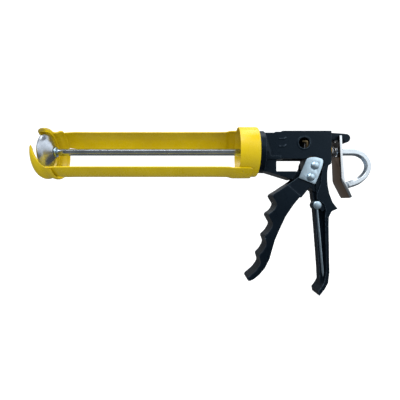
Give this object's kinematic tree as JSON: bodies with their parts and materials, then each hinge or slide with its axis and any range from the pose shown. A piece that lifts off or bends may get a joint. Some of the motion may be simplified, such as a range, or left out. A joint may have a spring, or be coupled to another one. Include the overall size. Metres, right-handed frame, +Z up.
{
  "type": "caulking gun",
  "caption": "Hand-squeezed gun that holds a sealant cartridge in a swivelling open cradle and pushes it empty with a hooked hexagonal rod.",
  "frame": {"origin": "Centre of the gun's length and width, at the height of the handle's foot, with the gun held level in its working attitude.", "axes": "+X runs from the nozzle end to the rod's hook along the rod, +Z is up, and -Y is the side with the spout cutter and the puncture pin."},
  "size_m": [0.3461, 0.0534, 0.1738],
  "materials": {
    "yellow_enamel": "gloss yellow enamel",
    "black_casting": "satin black paint on a die casting",
    "zinc": "bright zinc plate",
    "bright_steel": "bright nickel plate",
    "hard_steel": "hardened dark steel",
    "spring_steel": "drawn spring wire",
    "blade_steel": "yellow-passivated blade steel",
    "brass": "turned brass"
  },
  "bodies": {
    "handle": {"housing": "black_casting", "rear_bush": "brass", "cradle_washer": "zinc", "cradle_nut": "zinc", "pivot_pin": "zinc", "puncture_rivet": "hard_steel", "drive_spring": "spring_steel", "release_spring": "spring_steel"},
    "cradle": {"rear_cup": "yellow_enamel", "strap_near": "yellow_enamel", "strap_far": "yellow_enamel", "front_ring": "yellow_enamel"},
    "rod": {"push_rod": "bright_steel", "piston": "bright_steel", "piston_washer": "zinc", "piston_nut": "zinc"},
    "trigger": {"trigger": "black_casting", "link_plate_near": "zinc", "link_plate_far": "zinc", "link_rivet_near": "zinc", "link_rivet_far": "zinc", "drive_pin": "hard_steel", "cutter_blade": "blade_steel"},
    "grip": {"grip_plate_front": "hard_steel", "grip_plate_rear": "hard_steel"},
    "release": {"release_lever": "zinc"},
    "puncture": {"puncture_pin": "zinc"}
  },
  "joints": [
    {"name": "cradle_turn", "type": "hinge", "parent": "handle", "child": "cradle", "pos_m": [0.0536, 0, 0.1478], "axis": [1, 0, 0], "continuous": true},
    {"name": "rod_slide", "type": "slide", "parent": "handle", "child": "rod", "axis": [1, 0, 0], "range_m": [0, 0.195]},
    {"name": "trigger_squeeze", "type": "hinge", "parent": "handle", "child": "trigger", "pos_m": [0.11, 0, 0.1324], "axis": [0, -1, 0], "range_deg": [0, 20], "stiffness_Nm_per_rad": 0.6, "springref_deg": -20.05, "deforming": ["drive_spring"]},
    {"name": "grip_drive", "type": "slide", "parent": "handle", "child": "grip", "axis": [-1, 0, 0], "range_m": [0, 0.00222]},
    {"name": "release_tilt", "type": "hinge", "parent": "handle", "child": "release", "pos_m": [0.1395, 0, 0.1608], "axis": [0, 1, 0], "range_deg": [0, 7], "stiffness_Nm_per_rad": 0.3, "springref_deg": -11.46, "deforming": ["release_spring"]},
    {"name": "puncture_swing", "type": "hinge", "parent": "handle", "child": "puncture", "pos_m": [0.1121, -0.01125, 0.0924], "axis": [0, -1, 0], "range_deg": [0, 150]}
  ],
  "couplings": [
    {"joint": "grip_drive", "follows": "trigger_squeeze", "m_per_rad": 0.0063}
  ]
}
